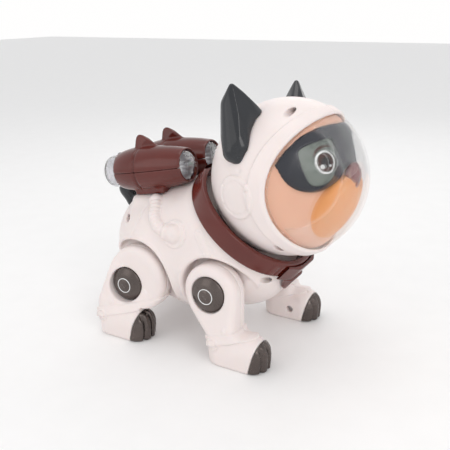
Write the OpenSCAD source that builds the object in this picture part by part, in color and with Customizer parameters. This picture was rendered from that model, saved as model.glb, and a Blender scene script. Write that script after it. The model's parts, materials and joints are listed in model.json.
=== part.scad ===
// Robot dog toy with a bubble helmet, twin jet pods, a collar and four swinging legs.
// The dog faces -Y, its right side is -X, the soles stand on Z = 0.

/* [Head] */
// Radius of the round helmet
head_r = 54.5; // [54:0.1:55]
// Height of the helmet's centre above the floor
head_z = 126.7; // [126:0.1:128]
// How far the helmet's centre sits ahead of the middle of the toy
head_ahead = 47.9; // [47:0.1:49]
// Turn of the head about the collar's axis at rest, in degrees
head_turn = -6; // [-20:1:20]
// Sideways place of each ear tip
ear_tip_x = 43; // [38:0.5:44]

/* [Body] */
// Radius of the round middle of the body
belly_r = 45; // [44:0.5:46]
// Radius of the rump
rump_r = 44.5; // [43:0.5:45]
// Thickness of the moulded shells
wall = 2; // [1.8:0.1:2.2]

/* [Legs] */
// Distance of the front hip axle ahead of the middle
front_hip_ahead = 10.9; // [10:0.1:12]
// Height of the front hip axle
front_hip_z = 49.8; // [49:0.1:51]
// Distance of the rear hip axle behind the middle
rear_hip_behind = 62.4; // [62:0.1:63]
// Height of the rear hip axle
rear_hip_z = 41.7; // [41:0.1:42.5]
// Radius of the hip axles
axle_r = 2; // [1.5:0.1:2.2]
// Half the width over the paws
paw_out_x = 58.6; // [58:0.1:59]
// Length of a paw from heel to claws
paw_len = 46; // [45:0.5:47]

/* [Jets] */
// Sideways place of each jet pod's axis
jet_x = 17.3; // [17.2:0.1:18]
// Largest radius of a jet pod
jet_r = 16.9; // [16:0.1:17]
// Nose-up pitch of the jet pods, in degrees
jet_pitch = 10.4; // [9:0.1:11]

/* [Collar] */
// Radius of the collar's rear edge
collar_r = 47.4; // [47:0.1:48]
// Width of the collar band
collar_w = 14.5; // [14:0.5:15]

/* [Drive] */
// Teeth on the crank gear
gear_teeth = 36; // [36:4:40]
// Teeth on the motor pinion
pinion_teeth = 10; // [10:1:12]
// Gear module
gear_module = 0.8; // [0.7:0.05:0.8]

/* [Hidden] */
$fn = 64;
hull_fn = 32;
gap = 0.3;
white = [0.93, 0.88, 0.87];
maroon = [0.42, 0.13, 0.10];
dark_grey = [0.22, 0.23, 0.25];
pearl = [0.36, 0.34, 0.33];

// The collar's axis points up and forward, and passes through the head's centre
collar_tilt = 41;
head_c = [0, -head_ahead, head_z];
// Distance from the head's centre back along the collar's axis to the collar's rear edge
collar_back = 50.5;
dish_r = head_r + 2.5;
helmet_in_r = head_r - 2.2;

// Hip places: [y of hip, z of hip, inner face x, outer face x, parting x]
front_hip = [-front_hip_ahead, front_hip_z, 34.5, 51.4, 43];
rear_hip = [rear_hip_behind, rear_hip_z, 31.5, 47.6, 40];
screw_r = 1.2;
screw_head_r = 2.4;

// ---------- frames ----------
module along_x() { rotate([0, 90, 0]) children(); }
module both_sides() { children(); mirror([1, 0, 0]) children(); }

// Frame of the collar: origin on the head's centre, Z along the collar's axis, pointing forward and up
module on_collar_axis() { translate(head_c) rotate([collar_tilt, 0, 0]) children(); }

// Frame of the head, turned about the collar's axis
module on_head() {
    translate(head_c)
        rotate([collar_tilt, 0, 0]) rotate([0, 0, head_turn]) rotate([-collar_tilt, 0, 0]) children();
}

// Frame of a jet pod: Z runs forward along the pod's axis from its rear end
jet_rear = [88.5, 119.3];
module on_jet(side) {
    translate([side * jet_x, jet_rear[0], jet_rear[1]]) rotate([90 - jet_pitch, 0, 0]) children();
}

// ---------- body ----------
rump_c = [0, 48, 66];
belly_c = [0, 18, 64];
chest_c = [0, -14, 62];
chest_r = 36;

module body_hull(inset) {
    hull() {
        translate(rump_c) sphere(rump_r - inset, $fn = hull_fn);
        translate(belly_c) sphere(belly_r - inset, $fn = hull_fn);
        translate(chest_c) sphere(chest_r - inset, $fn = hull_fn);
        on_collar_axis() translate([0, 0, -collar_back]) cylinder(h = 0.5, r = 45.3 - inset, $fn = 48);
    }
}

// Space that a leg's top swings in, grown by the given amount
module leg_recess(grow) {
    both_sides() {
        translate([33 - grow, front_hip[0], front_hip[1]]) along_x() cylinder(h = 40, r = 24.5 + grow);
        translate([33 - grow, front_hip[0] - 28 - grow, 5]) cube([40, 48 + 2 * grow, front_hip[1] - 5]);
        translate([30 - grow, 55, 47]) along_x() cylinder(h = 40, r = 28.5 + grow);
        translate([30 - grow, 26.5 - grow, 5]) cube([40, 60 + 2 * grow, 42]);
    }
}

saddle_y = 34;
saddle_len = 34;
module saddle(inset) {
    translate([-27 + inset, saddle_y + inset, 90]) cube([54 - 2 * inset, saddle_len - 2 * inset, 13.5 - inset]);
}

belly_door = [44, 54];
door_y = 1;
module door_block(grow) {
    translate([-belly_door[0] / 2 - grow, door_y - grow, 10]) cube([belly_door[0] + 2 * grow, belly_door[1] + 2 * grow, 22]);
}

// Body screws: y, z and the half-length of each screw's boss
body_bolts = [[70, 88, 60], [-42, 57, 60]];

module body_outer() {
    difference() {
        union() {
            body_hull(0);
            saddle(0);
            // moulded hose from the saddle to the round port on each side
            both_sides() translate([-37.5, 30, 88]) rotate([0, -62, 0]) cylinder(h = 5, r = 7.5);
        }
        leg_recess(0);
        on_collar_axis() sphere(dish_r);
        on_collar_axis() translate([0, 0, -collar_back + 0.4]) cylinder(h = 80, r = 90);
    }
}

module body_cavity() {
    difference() {
        body_hull(wall);
        leg_recess(wall);
        on_collar_axis() sphere(dish_r + wall);
        on_collar_axis() translate([0, 0, -collar_back - wall]) cylinder(h = 80, r = 90);
    }
}

module body_holes() {
    translate([-70, front_hip[0], front_hip[1]]) along_x() cylinder(h = 140, r = axle_r);
    translate([-70, rear_hip[0], rear_hip[1]]) along_x() cylinder(h = 140, r = axle_r);
    // neck post
    on_collar_axis() translate([0, 0, -70]) cylinder(h = 20, r = 8);
    // tail slot, power switch slot
    translate([-5.6, 78, 84]) cube([11.2, 20, 16]);
    translate([-7.5, 62, 20]) cube([15, 5.5, 14]);
    for (b = body_bolts) translate([-70, b[0], b[1]]) along_x() cylinder(h = 70 - 14, r = screw_head_r + 0.3);
    for (b = body_bolts) translate([-30, b[0], b[1]]) along_x() cylinder(h = 40, r = screw_r + 0.15);
}

module body_bosses() {
    intersection() {
        body_hull(0.8);
        union() {
            for (b = body_bolts) translate([-b[2], b[0], b[1]]) along_x() cylinder(h = 2 * b[2], r = 4.4);
            for (h = [front_hip, rear_hip])
                both_sides() translate([h[2] - 9.5, h[0], h[1]]) along_x() cylinder(h = 8, r = 5);
        }
    }
}

module body_shell(side) {
    color(white) difference() {
        union() {
            difference() {
                body_outer();
                body_cavity();
            }
            body_bosses();
        }
        leg_recess(0);
        jet_beds();
        body_holes();
        door_block(0.25);
        on_collar_axis() sphere(dish_r);
        translate([side > 0 ? -100 : -0.02, -100, 0]) cube([100.02, 250, 200]);
    }
}
module body_shell_right() { body_shell(-1); }
module body_shell_left() { body_shell(1); }

module body_screws() {
    color("silver") for (b = body_bolts) {
        translate([-16.4, b[0], b[1]]) along_x() cylinder(h = 2.2, r = screw_head_r);
        translate([-14.3, b[0], b[1]]) along_x() cylinder(h = 22, r = screw_r);
    }
}

// Beds in the saddle that the jet pods lie in
module jet_beds() {
    for (side = [-1, 1]) on_jet(side) {
        cylinder(h = jet_len, r = jet_r + 0.2);
        translate([-9.2, -20.6, 21.8]) cube([18.4, 12, 22.4]);
    }
}

// ---------- collar ----------
module collar_band() {
    color(maroon) on_collar_axis() translate([0, 0, -collar_back + 0.45]) difference() {
        rotate_extrude($fn = 96) intersection() {
            translate([44.9, 0]) square([6, collar_w]);
            translate([collar_r - 25 + 1.4, 6]) circle(25.6);
        }
        // inner side of the cup clears the turning head
        translate([0, 0, collar_back]) sphere(dish_r);
    }
    color(maroon) on_collar_axis() for (a = [-3, 0, 3])
        rotate([0, 0, 270 - 39 + a * 2.2]) translate([48.2, -1.2, -collar_back + 2]) cube([1.8, 2.4, 10]);
}

// Name plate on the collar's front, with a tag hanging below it
plate_face = 52.5;
tag_face = 54.2;
module collar_tag() {
    color(maroon) difference() {
        on_collar_axis() {
            hull() {
                translate([-20, -47.5, -collar_back + 0.5]) cube([40, 1, 13]);
                translate([-10, -plate_face, -collar_back + 0.5]) cube([20, 1.5, 14.5]);
            }
            hull() {
                translate([-19, -47.5, -collar_back - 1]) cube([38, 1, 1.6]);
                translate([-9.5, -tag_face, -collar_back - 1]) cube([19, 1.5, 1.6]);
                translate([-8, -tag_face, -collar_back - 13.5]) cube([16, 1.8, 1]);
            }
        }
        // seat on the band, and room for the chest
        on_collar_axis() translate([0, 0, -collar_back - 30]) cylinder(h = 60, r = 49.4, $fn = 96);
        translate(chest_c) sphere(chest_r + 0.4);
    }
}

// ---------- jets ----------
jet_len = 66;
module jet_outline(inset) {
    // radius along the pod, from the rear end to the front lip
    polygon([[0, 0], [11.2 - inset, 0], [12.6 - inset, 3], [14.6 - inset, 9], [16.2 - inset, 17], [jet_r - inset, 26],
        [jet_r - 0.3 - inset, 35], [15.8 - inset, 45], [14.6 - inset, 54], [13.1 - inset, 62], [12.4 - inset, jet_len], [0, jet_len]]);
}

module jet_pod(side, upper) {
    color(maroon) on_jet(side) difference() {
        union() {
            rotate_extrude() difference() {
                jet_outline(0);
                jet_outline(1.8);
            }
            if (upper) jet_fin();
            if (!upper) jet_foot();
        }
        rotate_extrude() translate([0, -1]) square([9.6, 3]);
        // ring groove
        translate([0, 0, 17.6]) rotate_extrude() translate([jet_r - 0.9, 0]) square([3, 2]);
        translate([0, 0, jet_len - 8]) cylinder(h = 20, r = 11.3);
        translate([-40, upper ? -80 : -0.02, -5]) cube([80, 80.02, 90]);
    }
}

module jet_fin() {
    hull() {
        translate([-1, 12, 21]) cube([2, 2, 18]);
        translate([-3.5, 14, 20.5]) cube([7, 2, 1]);
        translate([-0.8, 24, 22.5]) cube([1.6, 1, 2]);
        translate([-1, 21, 29]) cube([2, 2, 1]);
    }
}

module jet_foot() { translate([-9, -20.4, 22]) cube([18, 6, 22]); }

module jet_upper_shell_right() { jet_pod(-1, true); }
module jet_upper_shell_left() { jet_pod(1, true); }
module jet_lower_shell_right() { jet_pod(-1, false); }
module jet_lower_shell_left() { jet_pod(1, false); }

module jet_front_lens(side) {
    color([0.85, 0.87, 0.9, 0.5]) on_jet(side) translate([0, 0, jet_len - 7.5]) {
        rotate_extrude() difference() {
            intersection() {
                translate([0, -6]) circle(12.4);
                square([11.1, 10]);
            }
            intersection() {
                translate([0, -6]) circle(11);
                translate([0, 1.5]) square([9.6, 10]);
            }
        }
    }
}
module jet_front_lens_right() { jet_front_lens(-1); }
module jet_front_lens_left() { jet_front_lens(1); }

module jet_nozzle(side) {
    color([0.9, 0.9, 0.92, 0.7]) on_jet(side) rotate_extrude() difference() {
        polygon([[0, -6.8], [5, -6.5], [8.4, -4.8], [10.2, -2.4], [10.8, -0.05], [9.4, -0.05], [9.4, 4], [0, 4]]);
        polygon([[0, -5.4], [4.5, -5.2], [7.2, -3.6], [8.2, -1.5], [8.2, 5], [0, 5]]);
    }
}
module jet_nozzle_right() { jet_nozzle(-1); }
module jet_nozzle_left() { jet_nozzle(1); }

module jet_leds() {
    color("ivory") for (side = [-1, 1]) on_jet(side) {
        translate([0, 0, 47]) cylinder(h = 6, r = 2.5);
        translate([0, 0, 53]) sphere(2.5);
        translate([-5, -4, 45.4]) cube([10, 8, 1.6]);
    }
}

// ---------- tail ----------
tail_pivot = [0, 84, 92];
// Centres [y, z] and radii of the tail from its root to its tip
tail_way = [[89.5, 91, 5], [93.5, 101, 6.2], [97.2, 114, 5], [99.8, 127, 2.4]];
module tail() {
    color(dark_grey) {
        difference() {
            union() {
                for (k = [0 : 2]) hull() {
                    translate([0, tail_way[k][0], tail_way[k][1]]) sphere(tail_way[k][2], $fn = hull_fn);
                    translate([0, tail_way[k + 1][0], tail_way[k + 1][1]]) sphere(tail_way[k + 1][2], $fn = hull_fn);
                }
                translate([tail_pivot[0], tail_pivot[1], tail_pivot[2] - 5]) cylinder(h = 10, r = 4.2);
                translate([-3, 84, 88]) cube([6, 5, 8]);
            }
            translate([tail_pivot[0], tail_pivot[1], tail_pivot[2] - 8]) cylinder(h = 16, r = 1.55);
        }
    }
}

// ---------- inside the body ----------
box_low = [-24, 0.8, 32.6];
// Height of the cells' centres above the box's lower edge
cell_up = 6.9;
cell_r = 7;
cell_len = 50;
module battery_box() {
    color("dimgray") difference() {
        translate(box_low) cube([48, 56, 15.5]);
        translate([box_low[0] + 1.2, box_low[1] + 1.2, box_low[2] - 1]) cube([45.6, 53.6, 15]);
    }
}

module battery_cover() {
    color(white) difference() {
        intersection() {
            body_hull(0);
            door_block(0);
        }
        body_hull(wall);
        translate([0, door_y + belly_door[1] - 5, 5]) cylinder(h = 40, r = screw_r + 0.2);
    }
}

module batteries() {
    color("forestgreen") for (k = [-1, 0, 1]) translate([k * 14.8, box_low[1] + 2.2, box_low[2] + cell_up]) rotate([-90, 0, 0]) {
        cylinder(h = cell_len - 1.5, r = cell_r);
        cylinder(h = cell_len - 0.5, r = 2.6);
    }
}

module battery_contacts() {
    color("silver") for (k = [-1, 0, 1]) translate([k * 14.8, 0, box_low[2] + cell_up]) {
        translate([-5, box_low[1] + 1.25, -5]) cube([10, 0.6, 10]);
        translate([-5, box_low[1] + 54.1, -5]) cube([10, 0.6, 10]);
        translate([0, box_low[1] + 51.75, 0]) rotate([-90, 0, 0]) rotate_extrude() translate([2, 0]) square([1.4, 2.4]);
    }
}

module main_board() {
    color("darkgreen") translate([-20, 12, 96]) cube([40, 40, 1.6]);
    color("black") for (p = [[-12, 20], [2, 22], [-4, 38]]) translate([p[0], p[1], 93.8]) cube([9, 7, 2.2]);
}

module speaker() {
    color("black") translate([0, -19.8, 38.3]) rotate([28, 0, 0]) rotate_extrude() difference() {
        polygon([[0, 0], [11, 0], [11, 2], [7, 6], [0, 6]]);
        polygon([[0, -1], [9.4, -1], [0, 1.5]]);
    }
}

gear_c = [20, 66];
centre_dist = gear_module * (gear_teeth + pinion_teeth) / 2 + 0.12;
pinion_c = [gear_c[0] + centre_dist, gear_c[1]];
housing_x = 13;

module toothed(teeth, width, bore) {
    root_r = gear_module * (teeth / 2 - 1.15);
    tip_r = gear_module * (teeth / 2 + 0.8);
    half = 360 / teeth / 4;
    difference() {
        linear_extrude(width) union() {
            circle(root_r);
            for (k = [0 : teeth - 1]) rotate(k * 360 / teeth)
                polygon([[root_r - 0.5, -gear_module * 0.95], [gear_module * teeth / 2, -gear_module * 0.68], [tip_r, -gear_module * 0.36],
                    [tip_r, gear_module * 0.36], [gear_module * teeth / 2, gear_module * 0.68], [root_r - 0.5, gear_module * 0.95]]);
        }
        translate([0, 0, -1]) cylinder(h = width + 2, r = bore);
    }
}

module crank_gear() {
    color("ivory") translate([0, gear_c[0], gear_c[1]]) {
        translate([-2.5, 0, 0]) along_x() rotate(90) toothed(gear_teeth, 5, 1.5);
        translate([-20, 0, 0]) along_x() cylinder(h = 40, r = 2);
        for (s = [-1, 1]) {
            translate([s > 0 ? 15 : -18, 0, 0]) along_x() cylinder(h = 3, r = 9);
            translate([s > 0 ? 17.5 : -22.5, s * 6, 0]) along_x() cylinder(h = 5, r = 1.5);
        }
    }
}

module motor_pinion() {
    color("gold") translate([0, pinion_c[0], pinion_c[1]]) {
        translate([-2.5, 0, 0]) along_x() rotate(270 - 180 / pinion_teeth) toothed(pinion_teeth, 5, 0.8);
        translate([-18, 0, 0]) along_x() cylinder(h = 24, r = 1);
    }
}

module gearbox_housing() {
    color("gainsboro") difference() {
        translate([-housing_x, gear_c[0] - 17, gear_c[1] - 17]) cube([2 * housing_x, centre_dist + 26, 34]);
        translate([-housing_x + 2, gear_c[0] - 15.4, gear_c[1] - 15.6]) cube([2 * housing_x - 4, centre_dist + 22.8, 31.2]);
        translate([-30, gear_c[0], gear_c[1]]) along_x() cylinder(h = 60, r = 2.06);
        translate([-30, pinion_c[0], pinion_c[1]]) along_x() cylinder(h = 24, r = 1.06);
    }
}

module motor() {
    color("silver") difference() {
        union() {
            translate([-27, pinion_c[0], pinion_c[1]]) along_x() cylinder(h = 13.8, r = 8.5);
        }
        translate([-19, pinion_c[0], pinion_c[1]]) along_x() cylinder(h = 6, r = 1.06);
    }
}

module hip_axle(h) {
    color("silver") translate([-(h[3] - 4), h[0], h[1]]) along_x() cylinder(h = 2 * (h[3] - 4), r = axle_r);
}
module hip_axle_front() { hip_axle(front_hip); }
module hip_axle_rear() { hip_axle(rear_hip); }

// Slide switch under the rump: the knob runs sideways in its slot
module power_switch() {
    color("black") {
        translate([-5.2, 63, 22.5]) cube([5, 3.5, 7]);
        translate([-6.6, 62.3, 29.5]) cube([7, 5, 1.8]);
    }
}

// ---------- head ----------
visor_cut_r = 85;
visor_cut_y = 55;
visor_in_r = head_r - 1.8;
module visor_cut(extra) { translate([0, visor_cut_y, -70]) cylinder(h = 140, r = visor_cut_r + extra, $fn = 128); }

// screw places on the helmet's right half, in the head's frame
helmet_bolts = [[-10.7, 46.5], [-11.8, -41.5]];

// Sphere with its seam turned to the left side
module ball(r) { rotate([0, 0, 180]) sphere(r, $fn = 96); }

module helmet_half(countersunk) {
    difference() {
        union() {
            intersection() {
                difference() {
                    ball(head_r);
                    ball(helmet_in_r);
                }
                visor_cut(0);
            }
            intersection() {
                difference() {
                    ball(head_r + 1.1);
                    ball(helmet_in_r);
                }
                difference() {
                    visor_cut(0);
                    visor_cut(-6);
                }
            }
            intersection() {
                difference() {
                    ball(head_r + 1.4);
                    ball(helmet_in_r);
                }
                translate([-60, 10.5, -7.5]) along_x() cylinder(h = 50, r = 14.5);
            }
            intersection() {
                ball(head_r - 0.8);
                for (b = helmet_bolts) translate([-60, b[0], b[1]]) along_x() cylinder(h = 120, r = 4);
            }
        }
        for (b = helmet_bolts) translate([0, b[0], b[1]]) {
            if (countersunk) stepped_hole(70, 10);
            if (!countersunk) translate([-9, 0, 0]) along_x() cylinder(h = 20, r = screw_r + 0.15);
        }
        // neck bore, along the collar's axis
        rotate([collar_tilt, 0, 0]) translate([0, 0, -70]) cylinder(h = 60, r = 8.06);
        ear_peg_frame() translate([0, 0, -10]) cylinder(h = 20, r = 4.2);
        // small dimple below the ear
        translate([-61, 8.5, 10]) along_x() cylinder(h = 10, r = 1.6);
        translate([-0.02, -100, -100]) cube([99.98, 200, 200]);
    }
}
// Screw hole along X with a wide mouth, from x = -far to the step at x = -near and on through x = 0
module stepped_hole(far, near) {
    translate([-far, 0, 0]) along_x() rotate_extrude()
        polygon([[0, 0], [screw_head_r + 0.3, 0], [screw_head_r + 0.3, far - near], [screw_r + 0.15, far - near],
            [screw_r + 0.15, far + 5], [0, far + 5]]);
}

// Peg of the right ear, square to the helmet
module ear_peg_frame() { translate([-44, 18, 30]) rotate([0, -55, 0]) children(); }
module helmet_right_shell() { color(white) on_head() helmet_half(true); }
module helmet_left_shell() { color(white) on_head() mirror([1, 0, 0]) helmet_half(false); }

module head_screws() {
    color("silver") on_head() for (b = helmet_bolts) {
        translate([-12.4, b[0], b[1]]) along_x() cylinder(h = 2.2, r = screw_head_r);
        translate([-10.3, b[0], b[1]]) along_x() cylinder(h = 17, r = screw_r);
    }
}

module visor_dome() {
    color([0.8, 0.85, 0.9, 0.25]) on_head() difference() {
        union() {
            difference() {
                sphere(head_r - 0.2, $fn = 96);
                visor_cut(0.2);
            }
            difference() {
                sphere(helmet_in_r - 0.3, $fn = 96);
                visor_cut(-5);
            }
        }
        sphere(helmet_in_r - 1.9, $fn = 96);
        difference() {
            sphere(visor_in_r, $fn = 96);
            visor_cut(2.2);
        }
    }
}

// Face surface: a barrel-shaped dome about a vertical axis behind the face
face_axis_y = 14.7;
face_arc_r = 81.75;
face_arc_in = 25;
module face_solid(grow) {
    translate([0, face_axis_y, 0]) rotate_extrude($fn = 96) intersection() {
        translate([-face_arc_in, 0]) circle(face_arc_r + grow, $fn = 180);
        translate([0, -60]) square([80, 120]);
    }
}

module face_mask() {
    color([0.93, 0.68, 0.58]) on_head() difference() {
        intersection() {
            face_solid(0);
            sphere(visor_in_r - 0.5, $fn = 96);
        }
        face_solid(-1.6);
        visor_cut(2.7);
    }
}

lens_edge = [[-39, 20.5], [-38, 24.5], [-34, 27.6], [-27, 30], [-16.5, 32], [-14, 30.5], [-13.5, 22], [-16, 8.5],
    [-22, 4], [-29.5, 2.4], [-34.2, 3.6], [-37.3, 9.5]];
goggle_edge = [[-48, 19.5], [-46.8, 24.3], [-39, 29.7], [-30, 34.9], [-20, 38.4], [-9, 39.6], [0, 38.6], [0, 33.6], [-10, 32.6],
    [-12.6, 30], [-12.2, 22], [-14.6, 8.5], [-11.5, 6.6], [-18, 3.2], [-24, 0.6], [-30, -1.1], [-37.5, -0.6], [-42.8, 2.6], [-46.2, 8.6]];

module toward_face(depth) { rotate([90, 0, 0]) linear_extrude(depth) children(); }

module goggle_frame() {
    color([0.10, 0.11, 0.16]) on_head() difference() {
        intersection() {
            face_solid(2.9);
            sphere(visor_in_r - 0.5, $fn = 96);
            both_sides() toward_face(70) polygon(goggle_edge);
        }
        face_solid(0.15);
        visor_cut(2.7);
        both_sides() toward_face(70) offset(delta = 0.15) polygon(lens_edge);
    }
}

module goggle_lenses() {
    color([0.5, 0.53, 0.5]) on_head() difference() {
        intersection() {
            face_solid(1.7);
            sphere(visor_in_r - 0.5, $fn = 96);
            both_sides() toward_face(70) polygon(lens_edge);
        }
        face_solid(0.15);
        visor_cut(2.7);
    }
}

module muzzle() {
    color([0.93, 0.55, 0.28]) on_head() difference() {
        intersection() {
            hull() {
                both_sides() translate([13, -27, -15]) sphere(16, $fn = hull_fn);
                translate([0, -31, -12]) sphere(17, $fn = hull_fn);
                translate([0, -24, -24]) sphere(16, $fn = hull_fn);
            }
            translate([-50, -80, -60]) cube([100, 100, 58.5]);
        }
        face_solid(0.2);
    }
}

module nose_solid(grow) {
    hull() {
        both_sides() translate([6, -42.5, 11.5]) sphere(5 + grow, $fn = hull_fn);
        translate([0, -43.2, 5.2]) sphere(4.8 + grow, $fn = hull_fn);
    }
}

module nose() {
    color([0.45, 0.13, 0.12]) on_head() difference() {
        nose_solid(0);
        face_solid(0.2);
    }
}

module ear(side) {
    color(dark_grey) on_head() mirror([side > 0 ? 0 : 1, 0, 0]) {
        difference() {
            union() {
                hull() {
                    translate([ear_tip_x, 22, 61.3]) sphere(2, $fn = hull_fn);
                    translate([39, 20, 46]) sphere(8.5, $fn = hull_fn);
                    translate([42, 20, 32]) sphere(8.5, $fn = hull_fn);
                    translate([46.5, 12, 24]) sphere(8, $fn = hull_fn);
                    translate([30, 13, 42]) sphere(7, $fn = hull_fn);
                    translate([49.2, 10, 17]) sphere(4, $fn = hull_fn);
                }
                translate([44, 18, 30]) rotate([0, 55, 0]) translate([0, 0, -6]) cylinder(h = 12, r = 4);
            }
            difference() {
                sphere(head_r + 0.25, $fn = 96);
                translate([44, 18, 30]) rotate([0, 55, 0]) translate([0, 0, -10]) cylinder(h = 20, r = 4);
            }
            // hollow front cup
            hull() {
                translate([36, 2, 42]) sphere(6, $fn = hull_fn);
                translate([40, 8, 52]) sphere(3, $fn = hull_fn);
                translate([48, 0, 28]) sphere(5, $fn = hull_fn);
            }
        }
    }
}
module ear_right() { ear(-1); }
module ear_left() { ear(1); }

// The neck post is clamped by the body halves, and the head turns on it
module neck_post() {
    color("gainsboro") on_collar_axis() difference() {
        union() {
            translate([0, 0, -63]) cylinder(h = 15.5, r = 8);
            translate([0, 0, -49.5]) cylinder(h = 2, r = 11);
            translate([0, 0, -63]) cylinder(h = 2, r = 11);
        }
        translate([0, 0, -70]) cylinder(h = 30, r = 4.5);
    }
}

// ---------- legs ----------
function heel_y(h) = h[0] < 0 ? -9 : 89;
// Depth of the claws at the sole
claw_len = 9;

module leg_upper(h, inset) {
    front = h[0] < 0;
    top = front ? [h[0] - 0.5, h[1]] : [55, 47];
    top_r = front ? 21.3 : 24.3;
    low = front ? [-21.5, 24] : [76, 23];
    low_x = paw_out_x - 13.2;
    hull() {
        translate([h[2] + 4, top[0], top[1]]) along_x() cylinder(h = h[3] - h[2] - 7, r = top_r - inset, $fn = 48);
        translate([h[2] + inset, top[0], top[1]]) along_x() cylinder(h = h[3] - h[2] - 2 * inset, r = top_r - 4 - inset, $fn = 48);
        translate([low_x, low[0], low[1]]) sphere(11 - inset, $fn = hull_fn);
    }
}

module leg_paw(h, inset) {
    y = heel_y(h);
    x = paw_out_x - 13;
    base = inset > 0 ? inset : 0;
    hull() {
        translate([x, y - 13, base]) cylinder(h = 3, r = 10.5 - inset, $fn = hull_fn);
        translate([x, y - 13, 10]) sphere(12.4 - inset, $fn = hull_fn);
        translate([x, y - 12.5, 19]) sphere(10.5 - inset, $fn = hull_fn);
        translate([x, y - paw_len + 13, base]) cylinder(h = 3, r = 11 - inset, $fn = hull_fn);
        translate([x, y - paw_len + 12.5, 12]) sphere(12.5 - inset, $fn = hull_fn);
    }
}

// Slanted plane behind the claws
module claw_zone(h, shift) {
    translate([20, heel_y(h) - paw_len + claw_len + shift, -1]) rotate([14, 0, 0]) translate([0, -60, -10]) cube([60, 60, 60]);
}

function leg_bolts(h) = [[heel_y(h) - 26, 9]];

module leg_half(h, side, outer) {
    color(white) mirror([side > 0 ? 0 : 1, 0, 0]) difference() {
        union() {
            difference() {
                union() {
                    leg_upper(h, 0);
                    leg_paw(h, 0);
                }
                leg_upper(h, wall);
                leg_paw(h, wall);
                claw_zone(h, -wall - 0.4);
            }
            intersection() {
                union() {
                    leg_upper(h, 0.5);
                    leg_paw(h, 0.5);
                }
                union() {
                    translate([h[2] + 0.3, h[0], h[1]]) along_x() cylinder(h = h[3] - h[2] - 1, r = 5);
                    // floor and rim of the hip cap's seat
                    translate([h[3] - 3.5, h[0], h[1]]) along_x() cylinder(h = 11, r = 14.8);
                    for (b = leg_bolts(h)) translate([20, b[0], b[1]]) along_x() cylinder(h = 60, r = 4);
                    // wall behind the claws
                    difference() {
                        claw_zone(h, wall);
                        claw_zone(h, 0);
                    }
                }
            }
        }
        claw_zone(h, -0.4);
        translate([h[2] - 5, h[0], h[1]]) along_x() cylinder(h = h[3] - 4 - h[2] + 5.2, r = axle_r + 0.06);
        // seat of the hip cap
        translate([h[3] - 1.5, h[0], h[1]]) along_x() cylinder(h = 8, r = 13.1);
        for (b = leg_bolts(h)) {
            translate([20, b[0], b[1]]) along_x() cylinder(h = 20, r = screw_head_r + 0.3);
            translate([30, b[0], b[1]]) along_x() cylinder(h = 20, r = screw_r + 0.15);
        }
        parting_cut(h, outer);
        // flat sole
        translate([0, -120, -20]) cube([100, 260, 20]);
    }
}

// Removes the other half of a leg
module parting_cut(h, outer) {
    if (outer) translate([-10, -120, -5]) cube([10 + h[4] + 0.02, 260, 120]);
    if (!outer) translate([h[4], -120, -5]) cube([60, 260, 120]);
}

module hip_cap(h, side) {
    color(pearl) mirror([side > 0 ? 0 : 1, 0, 0]) translate([h[3] - 1.45, h[0], h[1]]) along_x() rotate_extrude() difference() {
        union() {
            square([12.9, 2]);
            intersection() {
                translate([0, -14.9]) circle(21);
                translate([0, 1.9]) square([12.3, 8]);
            }
        }
        // ring line on the dome
        translate([4.9, 5.1]) square([0.6, 3]);
    }
}

module toe_cap(h, side) {
    color(pearl) mirror([side > 0 ? 0 : 1, 0, 0]) difference() {
        intersection() {
            leg_paw(h, -0.25);
            claw_zone(h, -0.7);
            translate([0, -120, 0.6]) cube([80, 260, 60]);
        }
        for (k = [-2 : 2]) translate([paw_out_x - 13.4 + k * 5, heel_y(h) - paw_len - 3, -1]) cube([0.8, 9, 60]);
    }
}

module leg_screws(h, side) {
    color("silver") mirror([side > 0 ? 0 : 1, 0, 0]) for (b = leg_bolts(h)) {
        translate([37.7, b[0], b[1]]) along_x() cylinder(h = 2.2, r = screw_head_r);
        translate([39.8, b[0], b[1]]) along_x() cylinder(h = 8, r = screw_r);
    }
}

module leg_outer_front_right() { leg_half(front_hip, -1, true); }
module leg_inner_front_right() { leg_half(front_hip, -1, false); }
module hip_cap_front_right() { hip_cap(front_hip, -1); }
module toe_cap_front_right() { toe_cap(front_hip, -1); }
module leg_screws_front_right() { leg_screws(front_hip, -1); }
module leg_outer_front_left() { leg_half(front_hip, 1, true); }
module leg_inner_front_left() { leg_half(front_hip, 1, false); }
module hip_cap_front_left() { hip_cap(front_hip, 1); }
module toe_cap_front_left() { toe_cap(front_hip, 1); }
module leg_screws_front_left() { leg_screws(front_hip, 1); }
module leg_outer_rear_right() { leg_half(rear_hip, -1, true); }
module leg_inner_rear_right() { leg_half(rear_hip, -1, false); }
module hip_cap_rear_right() { hip_cap(rear_hip, -1); }
module toe_cap_rear_right() { toe_cap(rear_hip, -1); }
module leg_screws_rear_right() { leg_screws(rear_hip, -1); }
module leg_outer_rear_left() { leg_half(rear_hip, 1, true); }
module leg_inner_rear_left() { leg_half(rear_hip, 1, false); }
module hip_cap_rear_left() { hip_cap(rear_hip, 1); }
module toe_cap_rear_left() { toe_cap(rear_hip, 1); }
module leg_screws_rear_left() { leg_screws(rear_hip, 1); }

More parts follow.
